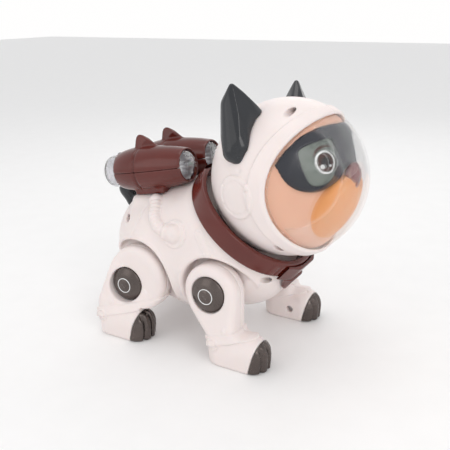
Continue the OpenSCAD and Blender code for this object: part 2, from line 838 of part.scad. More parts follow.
body_shell_right();
body_shell_left();
collar_band();
collar_tag();
jet_upper_shell_right();
jet_upper_shell_left();
jet_lower_shell_right();
jet_lower_shell_left();
jet_front_lens_right();
jet_front_lens_left();
jet_nozzle_right();
jet_nozzle_left();
jet_leds();
battery_box();
battery_cover();
batteries();
battery_contacts();
main_board();
speaker();
motor();
gearbox_housing();
hip_axle_front();
hip_axle_rear();
body_screws();
motor_pinion();
crank_gear();
power_switch();
tail();
helmet_right_shell();
helmet_left_shell();
visor_dome();
face_mask();
goggle_frame();
goggle_lenses();
muzzle();
nose();
ear_right();
ear_left();
neck_post();
head_screws();
leg_outer_front_right();
leg_inner_front_right();
hip_cap_front_right();
toe_cap_front_right();
leg_outer_front_left();
leg_inner_front_left();
hip_cap_front_left();
toe_cap_front_left();
leg_outer_rear_right();
leg_inner_rear_right();
hip_cap_rear_right();
toe_cap_rear_right();
leg_outer_rear_left();
leg_inner_rear_left();
hip_cap_rear_left();
toe_cap_rear_left();
leg_screws_front_right();
leg_screws_front_left();
leg_screws_rear_right();
leg_screws_rear_left();
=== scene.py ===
"""Looks of the robot dog toy: smooth moulded shells, bubble visor, printed eyes and studio light."""
import itertools
import json
import math
import bpy
import numpy as np
from mathutils import Matrix, Vector


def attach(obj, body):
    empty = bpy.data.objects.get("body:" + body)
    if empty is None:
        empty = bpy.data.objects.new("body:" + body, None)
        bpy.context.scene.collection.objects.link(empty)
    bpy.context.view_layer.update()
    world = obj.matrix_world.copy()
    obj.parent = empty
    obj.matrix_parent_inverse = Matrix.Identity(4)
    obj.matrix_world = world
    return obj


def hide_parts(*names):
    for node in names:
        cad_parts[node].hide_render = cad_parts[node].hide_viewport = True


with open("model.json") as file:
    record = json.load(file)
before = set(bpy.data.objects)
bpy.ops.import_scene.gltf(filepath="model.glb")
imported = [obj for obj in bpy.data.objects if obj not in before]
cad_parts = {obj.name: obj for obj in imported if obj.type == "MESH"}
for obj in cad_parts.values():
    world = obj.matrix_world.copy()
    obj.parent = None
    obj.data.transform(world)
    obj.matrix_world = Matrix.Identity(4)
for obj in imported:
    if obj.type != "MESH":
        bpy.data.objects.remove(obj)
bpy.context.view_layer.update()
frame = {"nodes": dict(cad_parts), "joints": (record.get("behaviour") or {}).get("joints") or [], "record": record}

MM = 0.001
GRID = 0.8
JOINTS = {joint["name"]: joint for joint in frame["joints"]}
SLOTS = {part["node"]: part["material_slot"] for part in frame["record"]["subparts"]}


def joint_place(name):
    """A joint's place in the rest pose, in millimetres."""
    return np.array(JOINTS[name]["pos_m"]) * 1000


# ---------- driving places, in millimetres; they follow the CAD part ----------
HEAD = joint_place("head_turn")
COLLAR_AXIS = np.array(JOINTS["head_turn"]["axis"])
COLLAR_TILT = math.atan2(-COLLAR_AXIS[1], COLLAR_AXIS[2])
HEAD_TURN = math.radians(-6)
HEAD_R = 54.5
HELMET_WALL = 2.2
VISOR_OUT = HEAD_R - 0.2
VISOR_IN = HEAD_R - 1.8
OPENING_R = 85
OPENING_Y = 55
COLLAR_BACK = 50.5
COLLAR_R = 47.4
RUMP, RUMP_R = np.array([0, 48, 66]), 44.5
BELLY, BELLY_R = np.array([0, 18, 64]), 45
CHEST, CHEST_R = np.array([0, -14, 62]), 36
SHOULDER_R = 46.4
SHOULDER = HEAD - COLLAR_AXIS * (COLLAR_BACK + 10)
WALL = 2.0
SCREW_WELL = 2.7
WELL_DEPTH = 5.0
BODY_SCREWS = [(70, 88), (-3, 108), (-42, 57)]
HELMET_SCREWS = [(-10.7, 46.5), (-11.8, -41.5)]


def turn_x(angle):
    c, s = math.cos(angle), math.sin(angle)
    return np.array([[1, 0, 0], [0, c, -s], [0, s, c]])


def turn_z(angle):
    c, s = math.cos(angle), math.sin(angle)
    return np.array([[c, -s, 0], [s, c, 0], [0, 0, 1]])


COLLAR_AXES = turn_x(COLLAR_TILT)
HEAD_AXES = turn_x(COLLAR_TILT) @ turn_z(HEAD_TURN) @ turn_x(-COLLAR_TILT)


# ---------- distance fields ----------
def length(v):
    return np.sqrt((v * v).sum(-1))


def join(a, b, k):
    """Smooth union of two distances."""
    h = np.clip(0.5 + 0.5 * (b - a) / k, 0, 1)
    return b + (a - b) * h - k * h * (1 - h)


def common(a, b, k):
    """Smooth intersection of two distances."""
    return -join(-a, -b, k)


def cut(a, b, k):
    """Distance a with b taken away."""
    return common(a, -b, k)


def bump(x, width):
    """Bell of height 1 and the given half-width."""
    return np.exp(-((x / width) ** 2))


def step_up(x, low, high):
    """Smooth step from 0 to 1."""
    t = np.clip((x - low) / (high - low), 0, 1)
    return t * t * (3 - 2 * t)


def round_cone(p, a, b, ra, rb):
    """Exact distance to the hull of two balls, in two or three dimensions."""
    a, b = np.array(a, float), np.array(b, float)
    ba = b - a
    l2 = ba @ ba
    rr = ra - rb
    a2 = l2 - rr * rr
    pa = p - a
    y = pa @ ba
    z = y - l2
    x2 = ((pa * l2 - y[:, None] * ba) ** 2).sum(-1)
    y2 = y * y * l2
    z2 = z * z * l2
    k = np.sign(rr) * rr * rr * x2
    side = (np.sqrt(x2 * a2 / l2) + y * rr) / l2 - ra
    near_a = np.sqrt(x2 + y2) / l2 - ra
    near_b = np.sqrt(x2 + z2) / l2 - rb
    return np.where(np.sign(z) * a2 * z2 > k, near_b, np.where(np.sign(y) * a2 * y2 < k, near_a, side))


def block(p, centre, half, radius):
    """Distance to a box with rounded edges."""
    q = np.abs(p - np.array(centre, float)) - (np.array(half, float) - radius)
    return length(np.maximum(q, 0)) + np.minimum(q.max(-1), 0) - radius


def hollow(d, wall):
    """Shell inside a surface."""
    return np.maximum(d, -(d + wall))


def outline_distance(points, corners):
    """Signed distance to a closed outline in the plane, negative inside."""
    best = np.full(len(points), 1e9)
    inside = np.zeros(len(points), bool)
    for a, b in zip(corners, np.roll(corners, -1, axis=0)):
        e = b - a
        w = points - a
        t = np.clip((w @ e) / (e @ e), 0, 1)
        best = np.minimum(best, length(w - t[:, None] * e))
        crosses = (a[1] > points[:, 1]) != (b[1] > points[:, 1])
        rise = e[1] if e[1] else 1e-9
        inside ^= crosses & (points[:, 0] < a[0] + e[0] * (points[:, 1] - a[1]) / rise)
    return np.where(inside, -best, best)


def smooth_outline(corners, rounds=2):
    """Cuts the corners of a closed outline, so that it runs in curves."""
    loop = np.array(corners, float)
    for _ in range(rounds):
        after = np.roll(loop, -1, axis=0)
        loop = np.stack([0.75 * loop + 0.25 * after, 0.25 * loop + 0.75 * after], 1).reshape(-1, 2)
    return loop


# ---------- meshing ----------
EDGES = [(a, b) for a, b in itertools.combinations(list(itertools.product((0, 1), repeat=3)), 2)
         if sum(abs(i - j) for i, j in zip(a, b)) == 1]
BLOCK = 8


def fill_grid(field, low, high, step):
    """Values on a grid, worked out only in the blocks that the surface passes through."""
    size = BLOCK * step
    count = np.ceil((np.array(high) - low) / size).astype(int)
    axes = [low[i] + size * (np.arange(count[i]) + 0.5) for i in range(3)]
    centres = np.stack(np.meshgrid(*axes, indexing="ij"), -1).reshape(-1, 3)
    coarse = field(centres).reshape(count)
    values = coarse.repeat(BLOCK, 0).repeat(BLOCK, 1).repeat(BLOCK, 2)
    values = np.pad(values, [(0, 1)] * 3, mode="edge")
    offsets = np.stack(np.meshgrid(*[np.arange(BLOCK + 1)] * 3, indexing="ij"), -1).reshape(-1, 3)
    starts = np.argwhere(np.abs(coarse) < 1.15 * size + step) * BLOCK
    for first in range(0, len(starts), 400):
        index = (starts[first:first + 400, None] + offsets[None]).reshape(-1, 3)
        values[tuple(index.T)] = field(low + index * step)
    return values


def surface_nets(values, low, step):
    """Quads round every grid edge whose ends have different signs."""
    inside = values < 0
    nx, ny, nz = values.shape
    count = np.zeros((nx - 1, ny - 1, nz - 1), np.int8)
    for i, j, k in itertools.product((0, 1), repeat=3):
        count += inside[i:nx - 1 + i, j:ny - 1 + j, k:nz - 1 + k]
    active = (count > 0) & (count < 8)
    cells = np.argwhere(active)
    index = np.full(active.shape, -1)
    index[active] = np.arange(len(cells))
    total = np.zeros((len(cells), 3))
    weight = np.zeros(len(cells))
    for a, b in EDGES:
        va = values[tuple((cells + a).T)]
        vb = values[tuple((cells + b).T)]
        crosses = (va < 0) != (vb < 0)
        t = va[crosses] / (va[crosses] - vb[crosses])
        total[crosses] += np.array(a) + t[:, None] * (np.array(b) - a)
        weight[crosses] += 1
    points = low + step * (cells + total / weight[:, None])
    quads = []
    for axis in range(3):
        one, two = np.eye(3, dtype=int)[(axis + 1) % 3], np.eye(3, dtype=int)[(axis + 2) % 3]
        along = np.eye(3, dtype=int)[axis]
        first = inside[tuple(slice(0, n - d) for n, d in zip(inside.shape, along))]
        second = inside[tuple(slice(d, n) for n, d in zip(inside.shape, along))]
        spots = np.argwhere(first != second)
        spots = spots[((spots[:, (axis + 1) % 3] > 0) & (spots[:, (axis + 2) % 3] > 0))]
        spots = spots[(spots < np.array(active.shape)).all(1)]
        ring = [index[tuple((spots - o).T)] for o in (one * 0, one, one + two, two)]
        quad = np.stack(ring, 1)
        flip = ~first[tuple(spots.T)]
        quad[flip] = quad[flip][:, ::-1]
        quads.append(quad[(quad >= 0).all(1)])
    return points, np.concatenate(quads)


def gradient(field, points, reach=0.12):
    """Slope of a field by central differences."""
    columns = []
    for axis in range(3):
        offset = np.eye(3)[axis] * reach
        columns.append(field(points + offset) - field(points - offset))
    return np.stack(columns, 1) / (2 * reach)


def field_mesh(field, low, high, step=None):
    """Mesh of a distance field: its points are pulled onto the true surface."""
    step = step or GRID
    low = np.array(low, float) - 1.37 * step
    points, quads = surface_nets(fill_grid(field, low, np.array(high, float) + 2 * step, step), low, step)
    for _ in range(2):
        slope = gradient(field, points)
        move = field(points)[:, None] * slope / np.maximum((slope ** 2).sum(1), 0.2)[:, None]
        points = points - np.clip(move, -0.5 * step, 0.5 * step)
    return points, quads


def add_piece(name, points, faces, body, slot, replaces=(), smooth=True, material=None):
    mesh = bpy.data.meshes.new(name)
    mesh.from_pydata((np.asarray(points) * MM).tolist(), [], [list(map(int, f)) for f in faces])
    mesh.update()
    mesh.polygons.foreach_set("use_smooth", [smooth] * len(mesh.polygons))
    mesh.materials.append(material or MATERIALS[slot])
    piece = bpy.data.objects.new(name, mesh)
    bpy.context.scene.collection.objects.link(piece)
    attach(piece, body)
    if replaces:
        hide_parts(*replaces)
    return piece


def mirrored(points, faces):
    """The same shape on the other side, with its faces turned back outwards."""
    return np.asarray(points) * [-1, 1, 1], [tuple(f)[::-1] for f in faces]


def lathe(profile, turns=96):
    """Closed or axis-to-axis profile [(radius, along)] turned about Z."""
    angles = np.linspace(0, 2 * math.pi, turns, endpoint=False)
    profile = np.array(profile, float)
    ring = np.stack([np.cos(angles), np.sin(angles)], 1)
    points = [[r * c, r * s, z] for r, z in profile for c, s in ring]
    faces = []
    for i in range(len(profile) - 1):
        for j in range(turns):
            after = (j + 1) % turns
            faces.append((i * turns + j, i * turns + after, (i + 1) * turns + after, (i + 1) * turns + j))
    for i, end in ((0, 0), (len(profile) - 1, 1)):
        if profile[i][0] < 0.3:
            loop = [i * turns + j for j in range(turns)]
            faces.append(tuple(loop if end else loop[::-1]))
    return np.array(points), faces


def rounded_profile(corners, rounds=3):
    """Rounds the inner corners of an open profile and keeps its ends."""
    line = np.array(corners, float)
    for _ in range(rounds):
        cuts = np.stack([0.75 * line[:-1] + 0.25 * line[1:], 0.25 * line[:-1] + 0.75 * line[1:]], 1)
        line = np.concatenate([line[:1], cuts.reshape(-1, 2)[1:-1], line[-1:]])
    return line


# ---------- materials ----------
def new_material(name):
    material = bpy.data.materials.new(name)
    material.use_nodes = True
    shader = material.node_tree.nodes["Principled BSDF"]
    return material, material.node_tree, shader


def noise(tree, scale, detail=3.0, rough=0.55):
    """Noise that stays with the object."""
    place = tree.nodes.new("ShaderNodeTexCoord")
    node = tree.nodes.new("ShaderNodeTexNoise")
    node.inputs["Scale"].default_value = scale
    node.inputs["Detail"].default_value = detail
    node.inputs["Roughness"].default_value = rough
    tree.links.new(place.outputs["Object"], node.inputs["Vector"])
    return node.outputs["Fac"]


def ranged(tree, value, low, high, start=0.3, stop=0.7):
    """Maps a value from one range to another."""
    node = tree.nodes.new("ShaderNodeMapRange")
    node.inputs["From Min"].default_value = start
    node.inputs["From Max"].default_value = stop
    node.inputs["To Min"].default_value = low
    node.inputs["To Max"].default_value = high
    tree.links.new(value, node.inputs["Value"])
    return node.outputs["Result"]


def mixed(tree, factor, one, two):
    """Mix of two colours, each a fixed colour or a socket."""
    node = tree.nodes.new("ShaderNodeMix")
    node.data_type = "RGBA"
    tree.links.new(factor, node.inputs["Factor"])
    for socket, value in (("A", one), ("B", two)):
        target = [s for s in node.inputs if s.name == socket and s.type == "RGBA"][0]
        if isinstance(value, tuple):
            target.default_value = (*value, 1)
        else:
            tree.links.new(value, target)
    return [s for s in node.outputs if s.type == "RGBA"][0]


def moulded(name, colour, rough, coat=0.0, vary=0.06, grain=0.03, worn=0.12, metal=0.0, soft=0.0):
    """Moulded plastic: slow colour drift, rubbed edges, fine grain and uneven gloss."""
    material, tree, shader = new_material(name)
    dark = tuple(c * (1 - vary) for c in colour)
    light = tuple(min(1, c * (1 + vary)) for c in colour)
    rubbed = tuple(c + (1 - c) * worn for c in colour)
    drift = mixed(tree, ranged(tree, noise(tree, 38), 0, 1), dark, light)
    shape = tree.nodes.new("ShaderNodeNewGeometry")
    edge = ranged(tree, shape.outputs["Pointiness"], 0, 0.8, 0.53, 0.62)
    tree.links.new(mixed(tree, edge, drift, rubbed), shader.inputs["Base Color"])
    smear = noise(tree, 120, 5)
    tree.links.new(ranged(tree, smear, rough * 0.82, min(1, rough * 1.22)), shader.inputs["Roughness"])
    relief = tree.nodes.new("ShaderNodeBump")
    relief.inputs["Strength"].default_value = grain
    relief.inputs["Distance"].default_value = 0.0003
    tree.links.new(noise(tree, 1500, 2), relief.inputs["Height"])
    tree.links.new(relief.outputs["Normal"], shader.inputs["Normal"])
    shader.inputs["Metallic"].default_value = metal
    shader.inputs["Coat Weight"].default_value = coat
    shader.inputs["Coat Roughness"].default_value = 0.06
    shader.inputs["Subsurface Weight"].default_value = soft
    shader.inputs["Subsurface Radius"].default_value = (0.004, 0.002, 0.0012)
    shader.inputs["Subsurface Scale"].default_value = 0.5
    return material


def clear(name, colour, rough, cover):
    """Clear moulding with faint flow marks and a few dull patches."""
    material, tree, shader = new_material(name)
    shader.inputs["Transmission Weight"].default_value = 1.0
    shader.inputs["IOR"].default_value = 1.45
    shader.inputs["Alpha"].default_value = cover
    tint = mixed(tree, ranged(tree, noise(tree, 30), 0, 1), tuple(c * 0.985 for c in colour), colour)
    tree.links.new(tint, shader.inputs["Base Color"])
    tree.links.new(ranged(tree, noise(tree, 90, 4), rough, rough + 0.03), shader.inputs["Roughness"])
    relief = tree.nodes.new("ShaderNodeBump")
    relief.inputs["Strength"].default_value = 0.02
    relief.inputs["Distance"].default_value = 0.0003
    tree.links.new(noise(tree, 60, 2), relief.inputs["Height"])
    tree.links.new(relief.outputs["Normal"], shader.inputs["Normal"])
    return material


LOOKS = {
    "white_shell": dict(colour=(0.84, 0.755, 0.735), rough=0.36, vary=0.02, worn=0.3, soft=0.08),
    "maroon_plastic": dict(colour=(0.105, 0.012, 0.007), rough=0.2, coat=0.12, vary=0.12, worn=0.04),
    "dark_grey_plastic": dict(colour=(0.014, 0.016, 0.020), rough=0.24, coat=0.15, vary=0.15, worn=0.06),
    "pearl_grey": dict(colour=(0.115, 0.095, 0.088), rough=0.26, coat=0.1, vary=0.2, metal=0.9, grain=0.05),
    "peach_skin": dict(colour=(0.82, 0.47, 0.33), rough=0.42, vary=0.03, soft=0.15),
    "navy_frame": dict(colour=(0.010, 0.012, 0.022), rough=0.34, coat=0.1, vary=0.2, worn=0.03),
    "grey_lens": dict(colour=(0.16, 0.185, 0.165), rough=0.28, coat=0.4, vary=0.06, worn=0.05),
    "orange_plastic": dict(colour=(0.80, 0.33, 0.10), rough=0.38, vary=0.05, soft=0.12),
    "nose_maroon": dict(colour=(0.17, 0.022, 0.024), rough=0.2, coat=0.6, vary=0.12, worn=0.06),
    "steel": dict(colour=(0.55, 0.56, 0.58), rough=0.3, metal=1.0, vary=0.08, grain=0.06),
    "black_plastic": dict(colour=(0.02, 0.02, 0.022), rough=0.5, vary=0.2),
    "ivory_nylon": dict(colour=(0.78, 0.75, 0.64), rough=0.45, vary=0.04, soft=0.1),
    "cell_wrap": dict(colour=(0.05, 0.2, 0.08), rough=0.3, coat=0.4, vary=0.15),
    "board_green": dict(colour=(0.02, 0.12, 0.04), rough=0.35, vary=0.25, grain=0.1),
    "brass": dict(colour=(0.7, 0.48, 0.18), rough=0.28, metal=1.0, vary=0.1),
}
MATERIALS = {name: moulded(name, **look) for name, look in LOOKS.items()}
MATERIALS["clear_plastic"] = clear("clear_plastic", (0.985, 0.988, 0.99), 0.0, 0.22)
MATERIALS["frosted_clear"] = clear("frosted_clear", (0.93, 0.93, 0.96), 0.16, 0.8)
INK_WHITE = moulded("ink_white", (0.85, 0.86, 0.86), 0.4, vary=0.03)
INK_BROWN = moulded("ink_brown", (0.07, 0.028, 0.022), 0.35, vary=0.15)
INK_BLACK = moulded("ink_black", (0.012, 0.012, 0.014), 0.3, vary=0.2)


# ---------- camera, floor and light ----------
CAMERA_SPOT = np.array([-407.1, -229.7, 239.5])
CAMERA_AIM = np.array([0.8226, 0.4730, -0.3155])
CAMERA_ROLL = -0.01
SENSOR = 36
# focal length over the picture's width
VIEW_REACH = 660 / 450
FLOOR_HALF = 4.0
HORIZON = (1.0, 0.995, 0.99)
ZENITH = (0.78, 0.78, 0.785)


def build_stage():
    """Camera at the reference angle, pale floor, bright studio round it and four soft lamps."""
    forward = CAMERA_AIM / np.linalg.norm(CAMERA_AIM)
    right = np.cross(forward, [0, 0, 1])
    right = right / np.linalg.norm(right)
    up = np.cross(right, forward)
    c, s = math.cos(CAMERA_ROLL), math.sin(CAMERA_ROLL)
    right, up = right * c + up * s, up * c - right * s
    camera = bpy.data.objects.new("camera", bpy.data.cameras.new("camera"))
    camera.data.sensor_width = SENSOR
    camera.data.lens = SENSOR * VIEW_REACH
    camera.data.clip_start = 0.01
    rows = [[right[i], up[i], -forward[i], CAMERA_SPOT[i] * MM] for i in range(3)]
    camera.matrix_world = Matrix(rows + [[0, 0, 0, 1]])
    bpy.context.scene.collection.objects.link(camera)
    bpy.context.scene.camera = camera

    mesh = bpy.data.meshes.new("floor")
    corners = [(x * FLOOR_HALF, y * FLOOR_HALF, 0) for x, y in ((-1, -1), (1, -1), (1, 1), (-1, 1))]
    mesh.from_pydata(corners, [], [(0, 1, 2, 3)])
    mesh.materials.append(moulded("floor_paint", (0.93, 0.93, 0.93), 0.6, vary=0.008, worn=0))
    floor = bpy.data.objects.new("floor", mesh)
    bpy.context.scene.collection.objects.link(floor)

    world = bpy.data.worlds.new("studio")
    world.use_nodes = True
    sky = world.node_tree
    way = sky.nodes.new("ShaderNodeTexCoord")
    height = sky.nodes.new("ShaderNodeSeparateXYZ")
    sky.links.new(way.outputs["Generated"], height.inputs["Vector"])
    rise = ranged(sky, height.outputs["Z"], 0, 1, 0.12, 0.6)
    shade = mixed(sky, rise, HORIZON, ZENITH)
    sky.links.new(shade, sky.nodes["Background"].inputs["Color"])
    bpy.context.scene.world = world
    bpy.context.scene.view_settings.view_transform = "Standard"
    lamp("key", (-0.55, -0.75, 0.75), 0.55, 2.2)
    lamp("fill", (-0.8, 0.45, 0.55), 0.6, 0.7)
    lamp("top", (0.05, 0.1, 1.0), 0.5, 1.1)
    lamp("rim", (0.7, 0.2, 0.6), 0.5, 0.6)


def lamp(name, place, size, power):
    """Square soft lamp that looks at the toy's middle."""
    light = bpy.data.lights.new(name, "AREA")
    light.size = size
    light.energy = power
    light.color = (1.0, 0.975, 0.955)
    lamp_object = bpy.data.objects.new(name, light)
    lamp_object.location = place
    aim = Vector((0, 0, 0.09)) - Vector(place)
    lamp_object.rotation_euler = aim.to_track_quat("-Z", "Y").to_euler()
    bpy.context.scene.collection.objects.link(lamp_object)


# ---------- body ----------
FRONT_HIP = joint_place("leg_swing_front_right")
# middle, radius and depth of the two arches that the legs swing in
ARCHES = [((FRONT_HIP[1], FRONT_HIP[2]), 25, 33), ((55, 47), 29, 30)]
PORT = np.array([20.5, 86.9])
HOSE = [(46.5, 104), (44.3, 100.5), (42.6, 96), (40.6, 92.8), (36.8, 89.8), (31.8, 87.7), (26.5, 86.9),
        (21, 86.9)]
PILL = [(-1.3, 90.5), (-8.7, 79.3)]


def body_form(q):
    """The plain body, without recesses; q has its x on the right side."""
    d = round_cone(q, RUMP, BELLY, RUMP_R, BELLY_R)
    d = join(d, round_cone(q, BELLY, SHOULDER, BELLY_R, SHOULDER_R), 3)
    d = join(d, round_cone(q, RUMP, SHOULDER, RUMP_R, SHOULDER_R), 3)
    d = join(d, round_cone(q, BELLY, CHEST, BELLY_R, CHEST_R), 6)
    return join(d, block(q, (0, 51, 96.5), (28, 19, 8.5), 4.5), 6)


def side_x(y, z):
    """Where the right side of the plain body lies, by halving."""
    inner, outer = 0.0, -60.0
    for _ in range(24):
        middle = (inner + outer) / 2
        if body_form(np.array([[middle, y, z]], float))[0] < 0:
            inner = middle
        else:
            outer = middle
    return inner


HOSE_R = 4.9
HOSE_RIB = 2.9
HOSE_LINE = [np.array([side_x(y, z) + 0.6, y, z]) for y, z in HOSE]
PORT_SPOT = np.array([side_x(*PORT), *PORT])


def hose_distance(q):
    """Corrugated tube along the hose's line."""
    best = np.full(len(q), 1e9)
    travel = np.zeros(len(q))
    start = 0.0
    for a, b in zip(HOSE_LINE[:-1], HOSE_LINE[1:]):
        e = b - a
        t = np.clip(((q - a) @ e) / (e @ e), 0, 1)
        d = length(q - a - t[:, None] * e)
        travel = np.where(d < best, start + t * np.linalg.norm(e), travel)
        best = np.minimum(best, d)
        start += np.linalg.norm(e)
    return (best - HOSE_R - 0.22 * np.cos(travel * 2 * math.pi / HOSE_RIB)) * 0.9


SEAM_TOP, SEAM_FOOT = np.array([53.7, 99.4]), np.array([61.3, 73.2])
DOOR = ((0, 28, 21), (22.25, 27.25, 11))
TAIL_SLOT = ((0, 88, 92), (5.6, 10, 8))
SWITCH_SLOT = ((0, 64.75, 27), (7.5, 2.75, 7))


def body_field(p):
    """Hollow body with its raised details, leg arches, screw wells and openings."""
    q = p.copy()
    q[:, 0] = -np.abs(q[:, 0])
    side = q[:, 1:]
    d = body_form(q)
    near = np.abs(d) < 14
    if near.any():
        d[near] = join(d[near], hose_distance(q[near]), 1.2)
        spot = q[near]
        # stepped round port
        ring = length(spot - PORT_SPOT)
        raised = 1.4 * (1 - step_up(ring, 9.6, 10.4)) + 0.9 * (1 - step_up(ring, 6.6, 7.4))
        raised -= 0.5 * bump(ring - 5.2, 0.5)
        raised += 0.7 * (1 - step_up(ring, 3.4, 4.2))
        # pill-shaped outline
        a, b = np.array(PILL[0], float), np.array(PILL[1], float)
        t = np.clip(((side[near] - a) @ (b - a)) / ((b - a) @ (b - a)), 0, 1)
        pill = length(side[near] - a - t[:, None] * (b - a))
        raised += 0.55 * (1 - step_up(pill, 3.5, 4.3)) - 0.45 * bump(pill - 2.2, 0.4)
        # groove down the haunch
        along = (SEAM_FOOT - SEAM_TOP) / np.linalg.norm(SEAM_FOOT - SEAM_TOP)
        off = (side[near] - SEAM_TOP) @ np.array([along[1], -along[0]])
        reach = (side[near] - SEAM_TOP) @ along
        raised -= 0.5 * bump(off, 0.45) * step_up(reach, -1, 1) * (1 - step_up(reach, 26, 28))
        d[near] -= raised * (spot[:, 0] < -12)
    x = q[:, 0]
    for (cy, cz), r, depth in ARCHES:
        arm = np.stack([side[:, 0] - cy, np.maximum(side[:, 1] - cz, 0)], 1)
        rim = length(arm) - r
        d -= 0.9 * bump(rim - 2.4, 1.6) * (x < -depth + 6) * (side[:, 1] > cz - 12)
        d = cut(d, common(rim, x + depth, 2.5), 1.6)
    along = (p - HEAD) @ COLLAR_AXIS
    d = common(d, HEAD_R + 2.5 - length(p - HEAD), 1)
    d = common(d, along + COLLAR_BACK - 0.4, 0.6)
    skin = d
    for y, z in BODY_SCREWS:
        well = common(length(p[:, 1:] - [y, z]) - SCREW_WELL, -skin - WELL_DEPTH, 0.3)
        d = cut(d, common(well, p[:, 0] + 14, 0.3), 0.7)
    d = hollow(d, WALL)
    d = cut(d, block(p, *DOOR, 0.5), 0.5)
    d = cut(d, block(p, *TAIL_SLOT, 0.5), 0.6)
    return cut(d, block(p, *SWITCH_SLOT, 0.5), 0.5)


def build_body():
    def right_half(p):
        return common(body_field(p), p[:, 0] + 0.02, 0.9)

    def left_half(p):
        return common(body_field(p), 0.02 - p[:, 0], 0.9)

    for side, field, low, high in (("right", right_half, -50, 1), ("left", left_half, -1, 50)):
        points, quads = field_mesh(field, (low, -54, 16), (high, 96, 122))
        add_piece("body_" + side, points, quads, "torso", "white_shell", ["body_shell_" + side])


# ---------- collar ----------
def in_collar(p):
    return (p - HEAD) @ COLLAR_AXES


BUCKLE_ANGLE = math.radians(231)
BAND_MID = -COLLAR_BACK + 0.5 + 7.2
BAND_R = 47.0
STRAP_R = 49.0
RIDGES = 3
RIDGE_STEP = 4.6
PLATE_FACE = 52.5
TAG_FACE = 54.2
TAG_DEPTH = 13


def collar_field(p):
    """Bulged band with a ridged strap end laid over its right half."""
    q = in_collar(p)
    ring = length(q[:, :2])
    bulge = 1.2 * (1 - ((q[:, 2] - BAND_MID) / 8) ** 2)
    flat = np.stack([np.zeros(len(q)), ring - BAND_R - bulge * 0.5, q[:, 2] - BAND_MID], 1)
    d = block(flat, (0, 0, 0), (1, 2.1, 7.1), 0.9)
    angle = np.abs(np.arctan2(q[:, 0], -q[:, 1]))
    arc = angle * COLLAR_R
    end = (1.5 * math.pi - BUCKLE_ANGLE) * COLLAR_R
    strap = np.stack([arc, ring - STRAP_R, q[:, 2] - BAND_MID], 1)
    layer = block(strap, (end / 2, 0, 0), (end / 2, 1.2, 5.9), 1.0)
    for k in range(RIDGES):
        layer += 0.7 * bump(arc - end + 6 + RIDGE_STEP * k, 0.55) * (np.abs(q[:, 2] - BAND_MID) < 4.9)
    d = join(d, layer, 0.4)
    return common(d, HEAD_R + 2.5 - length(p - HEAD), 0.5)


def tag_field(p):
    """Front plate with a tag that narrows downwards."""
    q = in_collar(p)
    x, out, z = np.abs(q[:, 0]), -q[:, 1], q[:, 2] + COLLAR_BACK
    plate_side = (x - 20) * 0.45 + (out - 47.5) * 0.89 - 0.3
    plate = common(out - PLATE_FACE, plate_side, 1.2)
    plate = common(plate, np.abs(z - 7.3) - 6.9, 1.0)
    narrow = np.clip(-z / TAG_DEPTH, 0, 1)
    tag_side = (x - 20 + 11.0 * narrow) * 0.5 + (out - 47.5 - 4.5 * narrow) * 0.87
    tag = common(out - TAG_FACE, tag_side, 1.2)
    tag = common(tag, x - 17 + 9.5 * narrow ** 0.8, 1.0)
    tag = common(tag, -z - 13.2 + 0.04 * x * x, 1.2)
    tag = common(tag, z - 0.4, 0.6)
    tag = common(tag, 51.6 - 4 * (1 - narrow) - out, 0.8)
    d = join(plate, tag, 0.3)
    return cut(d, length(q[:, :2]) - 50.6 + 1.2 * (z < 0), 0.3)


def on_tag(across, down, lift):
    """Point on the tag's front face, from the collar's rear edge down."""
    return HEAD + COLLAR_AXES @ np.array([across, -TAG_FACE - lift, -COLLAR_BACK - down])


def ellipse_patch(centre, radii, lift, turns=28):
    """Thin oval plate printed on the tag."""
    angles = np.linspace(0, 2 * math.pi, turns, endpoint=False)
    rim = [(centre[0] + radii[0] * math.cos(a), centre[1] + radii[1] * math.sin(a)) for a in angles]
    points = [on_tag(x, y, lift) for x, y in rim] + [on_tag(x, y, -0.1) for x, y in rim]
    faces = [tuple(range(turns))[::-1], tuple(range(turns, 2 * turns))]
    for j in range(turns):
        after = (j + 1) % turns
        faces.append((j, after, turns + after, turns + j))
    return points, faces


# centre and radii of the paw print's pads, across and down the tag
PAW_PADS = [((0, 8.0), (2.9, 2.3)), ((-4.0, 4.8), (1.2, 1.7)), ((-1.4, 3.2), (1.2, 1.8)),
            ((1.4, 3.2), (1.2, 1.8)), ((4.0, 4.8), (1.2, 1.7))]


def build_collar():
    points, quads = field_mesh(collar_field, (-53, -66, 50), (53, 28, 128), GRID * 0.9)
    add_piece("collar", points, quads, "torso", "maroon_plastic", ["collar_band"])
    points, quads = field_mesh(tag_field, (-22, -72, 36), (22, -42, 74), GRID * 0.6)
    add_piece("name_tag", points, quads, "torso", "maroon_plastic", ["collar_tag"])
    points, faces = [], []
    for centre, radii in PAW_PADS:
        more, loops = ellipse_patch(centre, radii, 0.12)
        faces += [tuple(i + len(points) for i in loop) for loop in loops]
        points += more
    add_piece("paw_mark", points, faces, "torso", "maroon_plastic", material=INK_WHITE, smooth=False)


# ---------- jets ----------
JET_X = 17.3
JET_REAR = np.array([88.5, 119.3])
JET_PITCH = math.radians(10.4)
JET_LEN = 66
JET_CUT = 5.5
JET_PROFILE = [(0, 11.2), (3, 12.6), (9, 14.8), (17, 16.3), (26, 16.9), (35, 16.6), (45, 15.8), (54, 14.6),
               (62, 13.1), (66, 12.2)]
JET_TABLE = rounded_profile(JET_PROFILE, 3)
FIN = smooth_outline([(21.5, 9), (22.6, 17), (23.4, 24.5), (27, 26.2), (32, 23.7), (43.5, 14.6), (44.5, 9)], 2)


def in_jet(p, side):
    axes = turn_x(math.pi / 2 - JET_PITCH)
    return (p - np.array([side * JET_X, *JET_REAR])) @ axes


